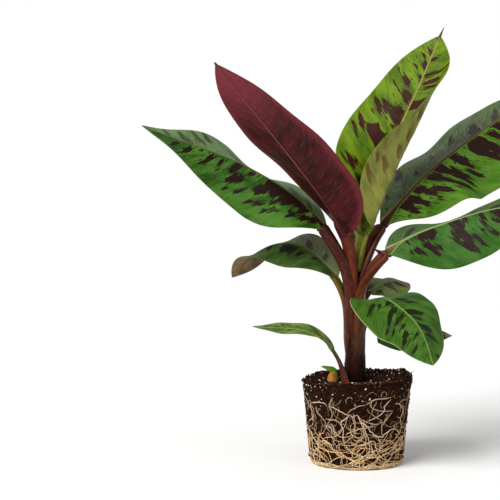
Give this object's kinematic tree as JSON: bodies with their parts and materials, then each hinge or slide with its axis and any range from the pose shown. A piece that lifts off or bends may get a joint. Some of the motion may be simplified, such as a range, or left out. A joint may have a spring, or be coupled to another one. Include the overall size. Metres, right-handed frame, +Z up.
{
  "type": "banana plant",
  "caption": "Young banana plant on a moulded root ball, with a stem of rolled sheaths, broad arching leaves with dark blotches on grooved petioles, a side shoot and a cut stub.",
  "frame": {"origin": "centre of the root ball's flat underside, on the surface that the plant stands on", "axes": "+Z up along the stem, +X to the right as the picture shows the plant, +Y away from the viewer"},
  "size_m": [0.6444, 0.4225, 0.6641],
  "materials": {
    "root_ball": "moist potting mix with pale roots and white grit",
    "stem": "satin maroon-brown sheaths with dry pale edges",
    "petiole": "satin maroon-brown",
    "side_shoot": "satin, crimson at the foot to green above",
    "cut_stub": "matte tan with a yellow-green cut leaf",
    "leaf_green": "satin green with dark maroon blotches",
    "leaf_red": "satin green above and maroon-red below"
  },
  "bodies": {
    "root": {"root_ball": "root_ball", "stem": "stem", "cut_stub": "cut_stub", "side_shoot": "side_shoot", "leaf_side_shoot": "leaf_green", "petiole_left_middle": "petiole", "petiole_right_front": "petiole", "petiole_right_back": "petiole", "petiole_right_lowest": "petiole", "petiole_back": "petiole", "petiole_right_lower": "petiole", "petiole_left_upper": "petiole", "petiole_right_upper": "petiole", "petiole_left_young": "petiole", "petiole_top_young": "petiole", "leaf_left_middle": "leaf_green", "leaf_right_front": "leaf_green", "leaf_right_back": "leaf_green", "leaf_right_lowest": "leaf_green", "leaf_back": "leaf_green", "leaf_right_lower": "leaf_green", "leaf_left_upper": "leaf_green", "leaf_right_upper": "leaf_green", "leaf_left_young": "leaf_red", "leaf_top_young": "leaf_green"}
  },
  "joints": []
}
